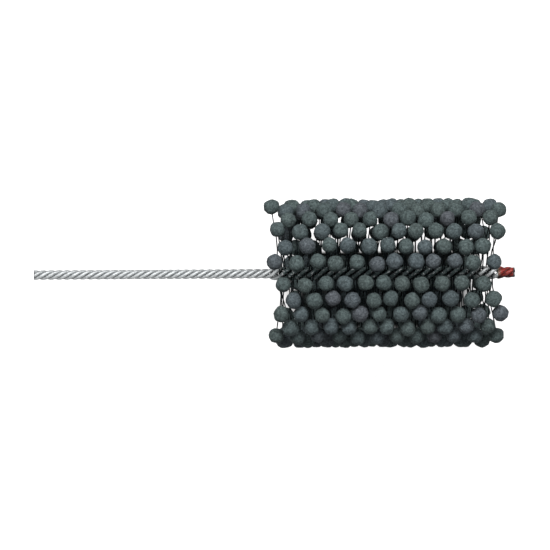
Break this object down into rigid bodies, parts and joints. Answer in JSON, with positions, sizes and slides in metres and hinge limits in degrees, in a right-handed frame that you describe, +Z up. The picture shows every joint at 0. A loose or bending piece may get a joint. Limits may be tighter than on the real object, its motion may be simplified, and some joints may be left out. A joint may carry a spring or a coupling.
{
  "type": "flexible ball hone",
  "caption": "Flexible hone for bores: abrasive globules on nylon filaments, held in a twisted-wire stem with a plain shank to chuck and a red-dipped tip.",
  "frame": {"origin": "centre of the shank's cut end, on the stem's axis", "axes": "+X along the stem from the shank's cut end to the red tip, +Z up with the tool lying on its head"},
  "size_m": [0.2032, 0.0638, 0.0637],
  "materials": {
    "steel_wire": "galvanised, drawn",
    "nylon_filament": "satin",
    "abrasive_globule": "matte, gritty",
    "red_dip": "gloss dip"
  },
  "bodies": {
    "root": {"filaments_01": "nylon_filament", "filaments_02": "nylon_filament", "filaments_03": "nylon_filament", "filaments_04": "nylon_filament", "filaments_05": "nylon_filament", "filaments_06": "nylon_filament", "filaments_07": "nylon_filament", "filaments_08": "nylon_filament", "filaments_09": "nylon_filament", "filaments_10": "nylon_filament", "filaments_11": "nylon_filament", "filaments_12": "nylon_filament", "filaments_13": "nylon_filament", "filaments_14": "nylon_filament", "filaments_15": "nylon_filament", "filaments_16": "nylon_filament", "filaments_17": "nylon_filament", "filaments_18": "nylon_filament", "filaments_19": "nylon_filament", "filaments_20": "nylon_filament", "filaments_21": "nylon_filament", "filaments_22": "nylon_filament", "filaments_23": "nylon_filament", "globules_01": "abrasive_globule", "globules_02": "abrasive_globule", "globules_03": "abrasive_globule", "globules_04": "abrasive_globule", "globules_05": "abrasive_globule", "globules_06": "abrasive_globule", "globules_07": "abrasive_globule", "globules_08": "abrasive_globule", "globules_09": "abrasive_globule", "globules_10": "abrasive_globule", "globules_11": "abrasive_globule", "globules_12": "abrasive_globule", "globules_13": "abrasive_globule", "globules_14": "abrasive_globule", "globules_15": "abrasive_globule", "globules_16": "abrasive_globule", "globules_17": "abrasive_globule", "globules_18": "abrasive_globule", "globules_19": "abrasive_globule", "globules_20": "abrasive_globule", "globules_21": "abrasive_globule", "globules_22": "abrasive_globule", "globules_23": "abrasive_globule", "stem_wire_1": "steel_wire", "stem_wire_2": "steel_wire", "stem_wire_3": "steel_wire", "stem_wire_4": "steel_wire", "tip_dip": "red_dip"}
  },
  "joints": []
}
